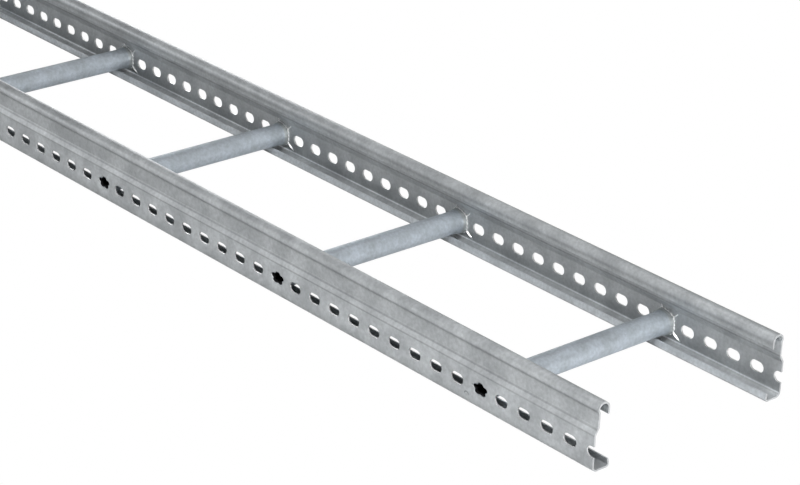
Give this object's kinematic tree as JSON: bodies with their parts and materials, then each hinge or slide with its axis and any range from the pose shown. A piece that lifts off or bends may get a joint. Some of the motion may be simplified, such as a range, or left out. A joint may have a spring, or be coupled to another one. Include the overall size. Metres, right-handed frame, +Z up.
{
  "type": "cable ladder section",
  "caption": "Straight galvanised cable ladder section: perforated joggled side rails with hooked top edges, joined by tubular rungs staked through the webs.",
  "frame": {"origin": "on the floor plane, midway along the ladder and midway between its rails", "axes": "+X along the ladder, +Y across it towards the left rail, +Z up out of the cable bed"},
  "size_m": [2, 0.203, 0.056],
  "materials": {
    "rail_steel": "matt galvanised, softly mottled",
    "rung_steel": "matt galvanised, slightly bluer and smoother"
  },
  "bodies": {
    "root": {"side_rail_right": "rail_steel", "side_rail_left": "rail_steel", "rung_01": "rung_steel", "rung_02": "rung_steel", "rung_03": "rung_steel", "rung_04": "rung_steel", "rung_05": "rung_steel", "rung_06": "rung_steel", "rung_07": "rung_steel", "rung_08": "rung_steel"}
  },
  "joints": []
}
